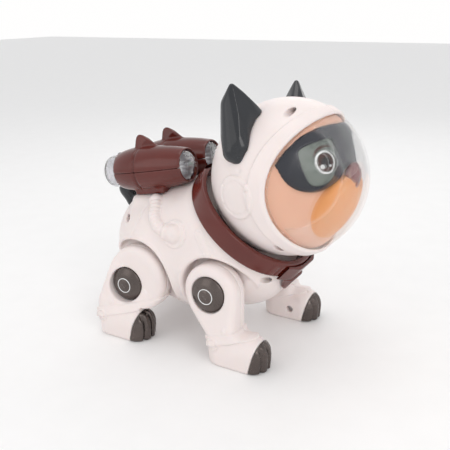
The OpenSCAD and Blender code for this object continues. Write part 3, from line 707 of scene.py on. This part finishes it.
def from_jet(points, side):
    axes = turn_x(math.pi / 2 - JET_PITCH)
    return np.asarray(points) @ axes.T + np.array([side * JET_X, *JET_REAR])


def jet_field(p):
    """Hollow right pod with its groove, open front and fin."""
    q = in_jet(p, -1)
    ring = length(q[:, :2])
    z = q[:, 2]
    radius = np.interp(z, JET_TABLE[:, 0], JET_TABLE[:, 1])
    d = (ring - radius) * 0.97
    d += 1.2 * bump(z - 27, 0.8)
    d = common(d, np.maximum(JET_CUT - z, z - JET_LEN), 1.2)
    shell = cut(d, common(ring - 11.2, z - JET_CUT - 3, 0.3), 0.3)
    shell = hollow(shell, 1.8)
    shell = cut(shell, common(ring - 11.3, 58 - z, 0.3), 0.5)
    rise = outline_distance(q[:, [2, 1]], FIN)
    thin = np.abs(q[:, 0]) - np.clip(4.4 - 0.30 * (q[:, 1] - 14), 0.7, 4.4)
    thin = np.maximum(thin, np.abs(q[:, 0]) - 0.9 - 0.25 * np.clip(38 - z, 0, 16))
    fin = common(rise, thin, 1.4)
    fin = cut(fin, ring - 14.5, 0.3)
    return join(shell, fin, 1.3)


def jet_foot_field(p):
    """Foot that joins the pod to the saddle."""
    q = in_jet(p, -1)
    return block(q, (0, -14.6, 32), (8.6, 3.6, 13), 1.5)


def build_jets():
    def upper(p):
        return common(jet_field(p), 0.03 - in_jet(p, -1)[:, 1], 0.8)

    def lower(p):
        q = in_jet(p, -1)
        foot = cut(jet_foot_field(p), length(q[:, :2]) - 15.4, 0.3)
        return common(join(jet_field(p), foot, 1.5), q[:, 1] + 0.03, 0.8)

    for part, field in (("upper", upper), ("lower", lower)):
        points, quads = field_mesh(field, (-36, 18, 98), (1, 93, 152))
        for side, shape in (("right", (points, quads)), ("left", mirrored(points, quads))):
            add_piece(f"jet_{part}_{side}", *shape, "torso", "maroon_plastic", [f"jet_{part}_shell_{side}"])
    dome = rounded_profile([(0.01, 4.6), (6, 4.2), (10.4, 2.2), (11.1, 0.2), (11.1, 0)], 3)
    inner = rounded_profile([(10.3, 0), (9.8, 1.2), (5.8, 3.0), (0.01, 3.4)], 2)
    lens = lathe(np.concatenate([dome, inner]) * [1, 1.3] + [0, 62.6])
    cup = lathe(rounded_profile([(2.8, 50.9), (5, 51.4), (8.4, 55), (10.2, 60.5), (11.0, 62.2), (10.7, 62.4),
                                 (9.8, 60.8), (8.0, 55.6), (4.8, 52), (2.8, 51.5)], 1))
    nozzle = lathe(rounded_profile([
        (0.01, -6.8), (7, -6.6), (11.2, -5), (12.3, -1.5), (12.5, 5.2), (11.2, 5.6),
        (11.2, 9), (10.2, 9), (10.4, -1), (9.6, -3.6), (6.5, -4.9), (0.01, -5.1)], 2))
    for side, sign in (("right", -1), ("left", 1)):
        add_piece("jet_lens_" + side, from_jet(lens[0], sign), lens[1], "torso", "clear_plastic",
                  ["jet_front_lens_" + side])
        add_piece("jet_reflector_" + side, fluted(from_jet, cup[0], sign), cup[1], "torso", "steel")
        add_piece("nozzle_" + side, from_jet(nozzle[0], sign), nozzle[1], "torso", "frosted_clear",
                  ["jet_nozzle_" + side])


def fluted(place, points, sign):
    """Pulls the reflector's wall into twelve flutes."""
    points = np.array(points)
    angle = np.arctan2(points[:, 1], points[:, 0])
    wave = 1 - 0.05 * np.cos(12 * angle) * step_up(length(points[:, :2]), 4, 9)
    points[:, :2] *= wave[:, None]
    return place(points, sign)


# ---------- tail ----------
TAIL_WAY = [(89.5, 91, 5), (93.5, 101, 6.2), (97.2, 114, 5), (99.8, 127, 2.4)]


def tail_field(p):
    """Curved tail on the upright stem that it turns on."""
    d = None
    for (ya, za, ra), (yb, zb, rb) in zip(TAIL_WAY[:-1], TAIL_WAY[1:]):
        piece = round_cone(p, (0, ya, za), (0, yb, zb), ra, rb)
        d = piece if d is None else join(d, piece, 5)
    stem = length(p[:, :2] - joint_place("tail_wag")[:2]) - 4.2
    stem = common(stem, np.abs(p[:, 2] - 92) - 5, 0.5)
    return join(d, stem, 2)


def build_tail():
    points, quads = field_mesh(tail_field, (-8, 78, 84), (8, 104, 131))
    add_piece("tail_skin", points, quads, "tail_body", "dark_grey_plastic", ["tail"])


# ---------- head ----------
def from_head(points):
    return np.asarray(points) @ HEAD_AXES.T + HEAD


EAR_DISC = (10.5, -7.5)
DIMPLE = (8.5, 10)


def helmet_field(p):
    """Right half of the helmet, in the head's own frame."""
    reach = length(p)
    rim = length(p[:, :2] - [0, OPENING_Y]) - OPENING_R
    lip = 1.4 * step_up(rim, -8.0, -6.6)
    spot = length(p[:, 1:] - list(EAR_DISC))
    at_side = p[:, 0] < -40
    disc = 1.3 * (1 - step_up(spot, 14, 14.9)) - 0.5 * bump(spot - 11, 0.45)
    turn = np.arctan2(p[:, 2] - EAR_DISC[1], p[:, 1] - EAR_DISC[0])
    for slot_turn in (0.55, -0.55, 2.6, -2.6):
        disc -= 0.8 * bump((turn - slot_turn) * 13, 1.3) * bump(spot - 12.6, 1.3)
    pip = 0.7 * bump(length(p[:, 1:] - list(DIMPLE)), 1.5)
    outer = reach - HEAD_R - lip - (disc - pip) * at_side
    for y, z in HELMET_SCREWS:
        well = common(length(p[:, 1:] - [y, z]) - SCREW_WELL, -outer - WELL_DEPTH, 0.3)
        outer = cut(outer, common(well, p[:, 0] + 6, 0.3), 0.9)
    d = np.maximum(outer, -outer - HELMET_WALL)
    d = common(d, rim, 1.0)
    neck = p @ COLLAR_AXES
    d = cut(d, common(length(neck[:, :2]) - 8.06, neck[:, 2] + 30, 0.3), 0.3)
    return common(d, p[:, 0] + 0.02, 0.7)


def visor_surface(radius, turns, rings):
    """Rings on a sphere, from its front point to the rim of the wrap-around opening."""
    points = [(0, -radius, 0)]
    for i in range(1, rings + 1):
        for j in range(turns):
            a = 2 * math.pi * j / turns
            low, high = 0.0, 2.4
            for _ in range(30):
                t = (low + high) / 2
                x, y = radius * math.sin(t) * math.cos(a), -radius * math.cos(t)
                if math.hypot(x, y - OPENING_Y) > OPENING_R + 0.25:
                    low = t
                else:
                    high = t
            t = low * i / rings
            out = radius * math.sin(t)
            points.append((out * math.cos(a), -radius * math.cos(t), out * math.sin(a)))
    faces = [(0, 1 + j, 1 + (j + 1) % turns) for j in range(turns)]
    for i in range(rings - 1):
        for j in range(turns):
            a, b = 1 + i * turns + j, 1 + i * turns + (j + 1) % turns
            faces.append((a, a + turns, b + turns, b))
    return points, faces


def build_visor():
    """Clear bubble with a real wall, ending at the helmet's rim."""
    turns, rings = 144, 40
    outer, faces = visor_surface(VISOR_OUT, turns, rings)
    inner, _ = visor_surface(VISOR_IN, turns, rings)
    count = len(outer)
    edge = 1 + (rings - 1) * turns
    shell = [tuple(f) for f in faces] + [tuple(i + count for i in f)[::-1] for f in faces]
    for j in range(turns):
        a, b = edge + j, edge + (j + 1) % turns
        shell.append((a, a + count, b + count, b))
    add_piece("visor", from_head(outer + inner), shell, "head", "clear_plastic", ["visor_dome"])


FACE_AXIS_Y = 14.7
FACE_ARC_R = 81.75
FACE_ARC_IN = 25
FACE_ROOM = VISOR_IN - 0.6
# outlines in the face's front view, right half, as (x, z)
LENS_EDGE = smooth_outline([
    (-39, 20.5), (-38, 24.5), (-34, 27.6), (-27, 30), (-16.5, 32), (-14, 30.5), (-13.5, 22),
    (-16, 8.5), (-22, 4), (-29.5, 2.4), (-34.2, 3.6), (-37.3, 9.5)])
GOGGLE_EDGE = smooth_outline([
    (-48, 19.5), (-46.8, 24.3), (-39, 29.7), (-30, 34.9), (-20, 38.4), (-9, 39.6), (3, 39.6),
    (3, 13), (-6, 12), (-11.5, 6.6),
    (-18, 3.2), (-24, 0.6), (-30, -1.1), (-37.5, -0.6), (-42.8, 2.6), (-46.2, 8.6)])


def barrel(p):
    """Distance to the face: a barrel-shaped dome about an upright axis."""
    ring = length(p[:, :2] - [0, FACE_AXIS_Y])
    return np.sqrt((ring + FACE_ARC_IN) ** 2 + p[:, 2] ** 2) - FACE_ARC_R


def face_y(x, z, lift):
    """Depth of the face's surface under a point of its front view."""
    ring = math.sqrt((FACE_ARC_R + lift) ** 2 - z * z) - FACE_ARC_IN
    return FACE_AXIS_Y - math.sqrt(max(ring * ring - x * x, 0))


def mask_field(p):
    """Thin face, cut where it meets the helmet."""
    bridge = length(p - [0, -38, 5]) - 7
    d = common(join(barrel(p), bridge, 3), length(p) - FACE_ROOM, 2)
    rim = length(p[:, :2] - [0, OPENING_Y]) - OPENING_R
    return common(hollow(d, 1.6), -rim - 5, 0.5)


def goggle_field(p):
    """Frame round both lens plates, across the bridge of the nose."""
    front = np.stack([-np.abs(p[:, 0]), p[:, 2]], 1)
    d = common(barrel(p) - 2.9, outline_distance(front, GOGGLE_EDGE), 1.6)
    d = cut(d, outline_distance(front, LENS_EDGE) - 0.1, 1.2)
    d = np.maximum(d, 0.1 - barrel(p))
    d = np.maximum(d, p[:, 1] + 2)
    return common(d, length(p) - FACE_ROOM, 0.6)


def lens_field(p):
    """The two plates inside the goggle frame."""
    front = np.stack([-np.abs(p[:, 0]), p[:, 2]], 1)
    d = common(barrel(p) - 1.7, outline_distance(front, LENS_EDGE), 0.4)
    d = np.maximum(d, 0.1 - barrel(p))
    d = np.maximum(d, p[:, 1] + 2)
    return common(d, length(p) - FACE_ROOM, 0.4)


def muzzle_field(p):
    """Rounded muzzle with a parting groove down its middle."""
    x = np.abs(p[:, 0])
    width, low = 29.0, 24.5
    front = (np.sqrt((x / width) ** 2 + ((p[:, 2] + 16) / low) ** 2) - 1) * low
    d = common(length(p) - 49.7, front, 5)
    d += 0.6 * bump(p[:, 0], 0.7) * (p[:, 2] < 0)
    d = np.maximum(d, -barrel(p) - 1.0)
    return np.maximum(d, p[:, 1] + 8)


def nose_field(p):
    """Egg-shaped nose with two nostrils."""
    q = p - [0, -46.2, 6.2]
    wide = 8.6 - 1.8 * step_up(-q[:, 2], -2, 8)
    d = (np.sqrt((q[:, 0] / wide) ** 2 + (q[:, 1] / 4.8) ** 2 + (q[:, 2] / 9.6) ** 2) - 1) * 4.8
    for side in (-1, 1):
        nostril = length((p - [side * 3.9, -50.2, 2.6]) / [1.4, 1.1, 1.0]) - 1
        d = cut(d, nostril, 0.8)
    return d


EAR_BALLS = [((-43, 22, 61.3), 2), ((-39, 20, 46), 8.5), ((-42, 20, 32), 8.5), ((-46.5, 12, 24), 8),
             ((-30, 13, 42), 7), ((-49.2, 10, 17), 4), ((-43, 23, 50), 6), ((-49, 15, 21), 7)]
CUP_BALLS = [((-36, 1, 42), 6), ((-40, 7, 52), 3), ((-48, -1, 28), 5)]
HULL_WAYS = 420


def hull_distance(p, balls):
    """Distance to the hull of several balls, from tangent planes spread over all directions."""
    best = np.full(len(p), -1e9)
    for i in range(HULL_WAYS):
        z = 1 - (2 * i + 1) / HULL_WAYS
        turn = math.pi * (3 - math.sqrt(5)) * i
        flat = math.sqrt(1 - z * z)
        way = np.array([flat * math.cos(turn), flat * math.sin(turn), z])
        best = np.maximum(best, p @ way - max(np.dot(way, spot) + radius for spot, radius in balls))
    return best


def ear_field(p):
    """Tall leaf standing on the helmet, with a shallow cup in its front."""
    d = common(hull_distance(p, EAR_BALLS), HEAD_R + 0.1 - length(p), 0.8)
    return cut(d, hull_distance(p, CUP_BALLS), 1.6)


def disc_patch(centre, inner, outer, lift, turns=48, squash=1.0):
    """Ring or disc printed on the goggle's lens plate; centre is in the face's front view."""
    radii = np.linspace(inner, outer, 4)
    points, faces = [], []
    for r in radii:
        for j in range(turns):
            a = 2 * math.pi * j / turns
            x, z = centre[0] + r * squash * math.cos(a), centre[1] + r * math.sin(a)
            points.append((x, face_y(x, z, lift), z))
    for i in range(len(radii) - 1):
        for j in range(turns):
            a, b = i * turns + j, i * turns + (j + 1) % turns
            faces.append((a, b, b + turns, a + turns))
    return points, faces


def stroke_patch(spots, widths, lift, steps=24):
    """Tapered stroke through three spots of the front view."""
    points, faces = [], []
    (x0, z0), (x1, z1), (x2, z2) = spots
    for i in range(steps + 1):
        t = i / steps
        x = (1 - t) ** 2 * x0 + 2 * t * (1 - t) * x1 + t * t * x2
        z = (1 - t) ** 2 * z0 + 2 * t * (1 - t) * z1 + t * t * z2
        dx = 2 * (1 - t) * (x1 - x0) + 2 * t * (x2 - x1)
        dz = 2 * (1 - t) * (z1 - z0) + 2 * t * (z2 - z1)
        size = math.hypot(dx, dz)
        half = widths * (0.25 + math.sin(math.pi * t) * 0.75) / 2
        for sign in (-1, 1):
            px, pz = x - sign * dz / size * half, z + sign * dx / size * half
            points.append((px, face_y(px, pz, lift), pz))
    for i in range(steps):
        faces.append((2 * i, 2 * i + 1, 2 * i + 3, 2 * i + 2))
    return points, faces


EYE = (-23, 17.3)


def build_eyes():
    """Eyes and brows printed on the goggle's lens plates."""
    prints = [
        ("eye_white_ring", disc_patch(EYE, 6.1, 7.3, 1.76), INK_WHITE),
        ("eye_iris", disc_patch(EYE, 3.3, 5.8, 1.80), INK_BROWN),
        ("eye_pupil", disc_patch(EYE, 0.01, 3.35, 1.84), INK_BLACK),
        ("eye_glint_low", disc_patch((EYE[0] - 2.9, EYE[1] - 2.6), 0.01, 1.5, 1.90), INK_WHITE),
        ("eye_glint_side", disc_patch((EYE[0] + 3.0, EYE[1] - 2.2), 0.01, 0.9, 1.90), INK_WHITE),
        ("eye_brow", stroke_patch([(-31, 20.5), (-27, 29), (-16.5, 26.5)], 1.6, 1.78), INK_BROWN),
    ]
    for name, (points, faces), ink in prints:
        for side in ("right", "left"):
            shape = (points, faces) if side == "right" else mirrored(points, faces)
            add_piece(f"{name}_{side}", from_head(shape[0]), shape[1], "head", "grey_lens", material=ink)


def build_head():
    points, quads = field_mesh(helmet_field, (-59, -45, -57), (1, 57, 57))
    add_piece("helmet_right", from_head(points), quads, "head", "white_shell", ["helmet_right_shell"])
    points, quads = mirrored(points, quads)
    add_piece("helmet_left", from_head(points), quads, "head", "white_shell", ["helmet_left_shell"])
    build_visor()
    fine = GRID * 0.8
    for name, field, low, high, slot, node in (
            ("mask", mask_field, (-54, -52, -54), (54, -4, 54), "peach_skin", "face_mask"),
            ("goggles", goggle_field, (-50, -53, -4), (50, -2, 42), "navy_frame", "goggle_frame"),
            ("goggle_plates", lens_field, (-42, -53, 0), (42, -2, 34), "grey_lens", "goggle_lenses"),
            ("muzzle_skin", muzzle_field, (-31, -52, -41), (31, -6, 9), "orange_plastic", "muzzle"),
            ("nose_tip", nose_field, (-12, -52, -6), (12, -36, 18), "nose_maroon", "nose")):
        points, quads = field_mesh(field, low, high, fine)
        add_piece(name, from_head(points), quads, "head", slot, [node])
    build_eyes()
    points, quads = field_mesh(ear_field, (-58, -2, 10), (-20, 34, 68), fine)
    add_piece("ear_skin_right", from_head(points), quads, "head", "dark_grey_plastic", ["ear_right"])
    points, quads = mirrored(points, quads)
    add_piece("ear_skin_left", from_head(points), quads, "head", "dark_grey_plastic", ["ear_left"])


# ---------- legs ----------
PAW_OUT = 58.6
PAW_LEN = 46
# hip axis, thigh circle and ankle as (y, z); inner and outer faces and the shells' parting as x
LEG_SHAPES = {
    "front": dict(hip=(-10.9, 49.8), top=(-11.4, 49.8), top_r=21.3, low=(-21.5, 24),
                  inner=34.5, outer=51.4, part=43, heel=-9, claws=10.5),
    "rear": dict(hip=(62.4, 41.7), top=(55, 47), top_r=24.3, low=(76, 23),
                 inner=31.5, outer=47.6, part=40, heel=89, claws=12.5),
}
PAW_X = PAW_OUT - 13
CLAW_SLOPE = math.radians(14)


def claw_side(p, leg):
    """Signed distance to the slanted plane behind the claws, negative towards the claws."""
    start = leg["heel"] - PAW_LEN + leg["claws"]
    return (p[:, 1] - start) * math.cos(CLAW_SLOPE) + (p[:, 2] + 1) * math.sin(CLAW_SLOPE)


def paw_distance(p, leg):
    """Rounded paw with a flat sole."""
    heel = np.array([PAW_X, leg["heel"] - 12.6, 9.5])
    toe = np.array([PAW_X, leg["heel"] - PAW_LEN + 12.7, 11])
    q = p.copy()
    q[:, 2] = np.maximum(p[:, 2], 10)
    d = round_cone(q, heel, toe, 12.4, 12.9)
    taper = 0.09 * np.clip(8 - p[:, 2], 0, 8)
    return common(d + taper, -p[:, 2], 1.8)


def thigh_distance(p, leg):
    """Flat thigh that narrows and moves outwards to the ankle."""
    top, low = np.array(leg["top"]), np.array(leg["low"])
    flat = round_cone(p[:, 1:], top, low, leg["top_r"], 11)
    t = np.clip(((p[:, 1:] - top) @ (low - top)) / ((low - top) @ (low - top)), 0, 1)
    thick_top = (leg["outer"] - leg["inner"]) / 2
    mid = (leg["outer"] + leg["inner"]) / 2 * (1 - t) + (PAW_X - 0.2) * t
    half = thick_top * (1 - t) + 11 * t
    return common(flat, np.abs(p[:, 0] - mid) - half, 6)


def leg_form(p, leg):
    """Whole leg without its hip seat and hollow, with cuff, button and arrow."""
    heel = leg["heel"]
    d = join(thigh_distance(p, leg), paw_distance(p, leg), 5)
    # cuff above the paw: a slanted step that rises towards the toes
    slant = p[:, 2] - 24 + 0.28 * (p[:, 1] - heel + 14)
    near = (p[:, 2] > 8) & (p[:, 2] < 40)
    d -= near * 1.2 * (step_up(slant, -7.5, -6.5) - step_up(slant, -0.8, 0.2))
    # round button on the outer side of the heel
    spot = length(p[:, 1:] - [heel - 8.5, 16.5])
    outside = p[:, 0] > PAW_X + 4
    d -= outside * (1.2 * (1 - step_up(spot, 4.4, 5.2)) - 0.6 * bump(spot - 3.4, 0.4))
    # small arrow above the button
    arrow = np.abs(p[:, 1] - heel + 16.5) + np.abs(p[:, 2] - 27.5) * 0.6
    return d - outside * 0.5 * (1 - step_up(arrow, 1.4, 2.0))


def leg_field(p, leg):
    """Hollow leg with the hip cap's seat, a screw well and an open front for the claws."""
    d = leg_form(p, leg)
    seat = length(p[:, 1:] - list(leg["hip"]))
    floor = leg["outer"] - 1.5
    d = join(d, common(seat - 14.6, np.abs(p[:, 0] - floor + 1.4) - 1.5, 0.6), 1.2)
    d = cut(d, common(seat - 13.2, floor - p[:, 0], 0.3), 0.9)
    bolt = common(length(p[:, 1:] - [leg["heel"] - 26, 9]) - SCREW_WELL, p[:, 0] - leg["part"] + 3, 0.3)
    d = cut(d, bolt, 0.7)
    d = cut(hollow(d, WALL), common(claw_side(p, leg), p[:, 2] - 26, 0.3), 0.5)
    return cut(d, common(seat - 2.06, p[:, 0] - leg["outer"] + 3, 0.2), 0.2)


def claw_field(p, leg):
    """Solid toe cap with three grooves between its claws."""
    x = p[:, 0] - PAW_X
    d = paw_distance(p, leg) - 0.35
    front = step_up(-claw_side(p, leg), 0.5, 5)
    d += front * sum(depth * bump(x - at, 0.95) for at, depth in ((-6.4, 1.9), (0, 2.4), (6.4, 1.9)))
    d -= front * 0.5 * np.abs(np.cos(math.pi * (x - 3.2) / 6.4))
    d = common(d, claw_side(p, leg) + 0.25, 0.6)
    return common(d, 0.5 - p[:, 2], 0.8)


def build_cap(leg, name, side):
    """Domed hip cap with a raised button and a white ring line."""
    base = leg["outer"] - 1.45
    profile = rounded_profile([
        (12.9, 0), (12.9, 1.6), (12.2, 2.4), (9, 4.4), (6.0, 5.3), (5.4, 5.0), (4.9, 5.4), (2.6, 6.4), (0.01, 6.6)], 2)
    points, faces = lathe(profile)
    angles = np.linspace(0, 2 * math.pi, 64, endpoint=False)
    line, loops = [], []
    for r, z in ((5.15, 5.0), (5.15, 5.42), (5.7, 5.42), (5.7, 5.0)):
        line += [(r * math.cos(a), r * math.sin(a), z) for a in angles]
    for i in range(3):
        for j in range(64):
            after = (j + 1) % 64
            loops.append((i * 64 + j, i * 64 + after, (i + 1) * 64 + after, (i + 1) * 64 + j))
    for piece, shape, ink, nodes in (("hip_dome_", (points, faces), None, [f"hip_cap_{name}"]),
                                     ("hip_ring_", (line, loops), INK_WHITE, [])):
        local = np.asarray(shape[0])
        placed = np.stack([base + local[:, 2], leg["hip"][0] - local[:, 1], leg["hip"][1] + local[:, 0]], 1)
        turned = (placed, [tuple(f)[::-1] for f in shape[1]])
        if side == "right":
            turned = mirrored(*turned)
        add_piece(piece + name, turned[0], turned[1], "leg_" + name, "pearl_grey", nodes, material=ink)


def build_legs():
    """Each leg's shells and toe cap are shaped on the left and mirrored."""
    for end, leg in LEG_SHAPES.items():
        low = (leg["inner"] - 2, min(leg["heel"] - PAW_LEN, leg["top"][0] - leg["top_r"]) - 3, -1)
        back = max(leg["heel"], leg["top"][0] + leg["top_r"])
        high = (PAW_OUT + 2, back + 3, leg["top"][1] + leg["top_r"] + 2)

        def outer(p):
            return common(leg_field(p, leg), leg["part"] + 0.03 - p[:, 0], 0.8)

        def inner(p):
            return common(leg_field(p, leg), p[:, 0] - leg["part"] + 0.03, 0.8)

        shapes = [("leg_outer", outer, "white_shell"), ("leg_inner", inner, "white_shell"),
                  ("toe_cap", lambda p: claw_field(p, leg), "pearl_grey")]
        for kind, field, slot in shapes:
            claws = kind == "toe_cap"
            top = 30 if claws else high[2]
            step = GRID * (0.7 if claws else 1)
            points, quads = field_mesh(field, low, (high[0], high[1], top), step)
            for side in ("left", "right"):
                shape = (points, quads) if side == "left" else mirrored(points, quads)
                add_piece(f"{kind}_skin_{end}_{side}", shape[0], shape[1], f"leg_{end}_{side}", slot,
                          [f"{kind}_{end}_{side}"])
        for side in ("left", "right"):
            build_cap(leg, f"{end}_{side}", side)


# ---------- nodes that keep their CAD shape ----------
def finish_nodes():
    """Gives every node that keeps its CAD shape its own material."""
    for name, node in frame["nodes"].items():
        node.data.materials.clear()
        node.data.materials.append(MATERIALS[SLOTS[name]])


build_stage()
build_body()
build_collar()
build_jets()
build_tail()
build_head()
build_legs()
finish_nodes()
